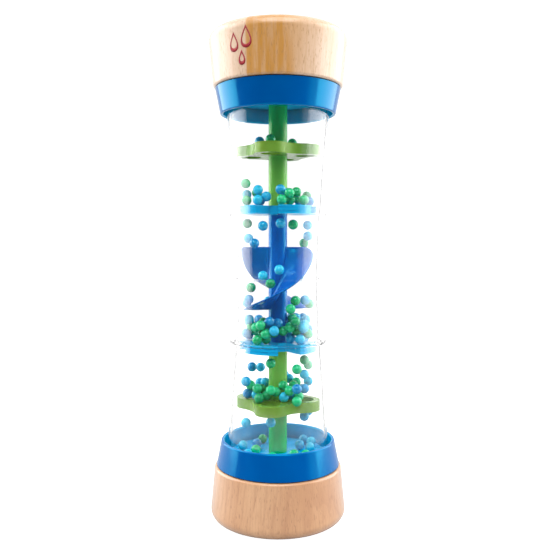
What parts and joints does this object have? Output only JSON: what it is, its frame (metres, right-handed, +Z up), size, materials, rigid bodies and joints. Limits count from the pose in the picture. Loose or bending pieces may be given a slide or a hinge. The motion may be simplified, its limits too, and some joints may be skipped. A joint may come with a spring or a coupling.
{
  "type": "rainstick",
  "caption": "Small bead rainmaker: turned beech end caps with blue collars, and a waisted clear tube round a green and blue core of sieves, dividers and a spiral, with loose beads.",
  "frame": {"origin": "centre of the bottom cap's end face, on the surface the part stands on", "axes": "+Z up along the tube's axis, -Y towards the viewer of the spiral's front blade, +X to that viewer's right"},
  "size_m": [0.056, 0.056, 0.199],
  "materials": {
    "beech": "clear satin lacquer over straight-grained beech",
    "collar_blue": "glossy moulded plastic",
    "clear_plastic": "clear polished plastic",
    "divider_blue": "glossy moulded plastic",
    "spiral_blue": "glossy moulded plastic",
    "core_green": "glossy moulded plastic",
    "bead_green": "polished plastic beads",
    "bead_blue": "polished plastic beads",
    "screw_steel": "zinc-plated steel"
  },
  "bodies": {
    "root": {"bottom_cap": "beech", "top_cap": "beech", "bottom_collar": "collar_blue", "top_collar": "collar_blue", "bottom_floor": "collar_blue", "top_floor": "collar_blue", "bottom_screws": "screw_steel", "top_screws": "screw_steel", "lower_tube": "clear_plastic", "lower_middle_tube": "clear_plastic", "upper_middle_tube": "clear_plastic", "upper_tube": "clear_plastic", "lower_stem": "core_green", "upper_stem": "core_green", "lower_sieve": "core_green", "upper_sieve": "core_green", "lower_divider": "divider_blue", "upper_divider": "divider_blue", "middle_stem": "spiral_blue", "spiral": "spiral_blue"},
    "floor_beads": {"floor_beads_green": "bead_green", "floor_beads_blue": "bead_blue"},
    "lower_sieve_beads": {"lower_sieve_beads_green": "bead_green", "lower_sieve_beads_blue": "bead_blue"},
    "lower_falling_beads": {"lower_falling_beads_green": "bead_green", "lower_falling_beads_blue": "bead_blue"},
    "lower_divider_beads": {"lower_divider_beads_green": "bead_green", "lower_divider_beads_blue": "bead_blue"},
    "spiral_beads": {"spiral_beads_green": "bead_green", "spiral_beads_blue": "bead_blue"},
    "upper_falling_beads": {"upper_falling_beads_green": "bead_green", "upper_falling_beads_blue": "bead_blue"},
    "upper_divider_beads": {"upper_divider_beads_green": "bead_green", "upper_divider_beads_blue": "bead_blue"},
    "upper_sieve_beads": {"upper_sieve_beads_green": "bead_green", "upper_sieve_beads_blue": "bead_blue"}
  },
  "joints": [
    {"name": "floor_beads_rise", "type": "slide", "parent": "root", "child": "floor_beads", "axis": [0, 0, 1], "range_m": [0, 0.008]},
    {"name": "lower_sieve_beads_rise", "type": "slide", "parent": "root", "child": "lower_sieve_beads", "axis": [0, 0, 1], "range_m": [0, 0.011]},
    {"name": "lower_beads_fall", "type": "slide", "parent": "root", "child": "lower_falling_beads", "axis": [0, 0, 1], "range_m": [-0.008, 0.0015]},
    {"name": "lower_divider_beads_rise", "type": "slide", "parent": "root", "child": "lower_divider_beads", "axis": [0, 0, 1], "range_m": [0, 0.0015]},
    {"name": "spiral_beads_fall", "type": "slide", "parent": "root", "child": "spiral_beads", "axis": [0, 0, 1], "range_m": [-0.0015, 0.003]},
    {"name": "upper_beads_fall", "type": "slide", "parent": "root", "child": "upper_falling_beads", "axis": [0, 0, 1], "range_m": [-0.008, 0.0015]},
    {"name": "upper_divider_beads_rise", "type": "slide", "parent": "root", "child": "upper_divider_beads", "axis": [0, 0, 1], "range_m": [0, 0.009]},
    {"name": "upper_sieve_beads_rise", "type": "slide", "parent": "root", "child": "upper_sieve_beads", "axis": [0, 0, 1], "range_m": [0, 0.013]}
  ]
}
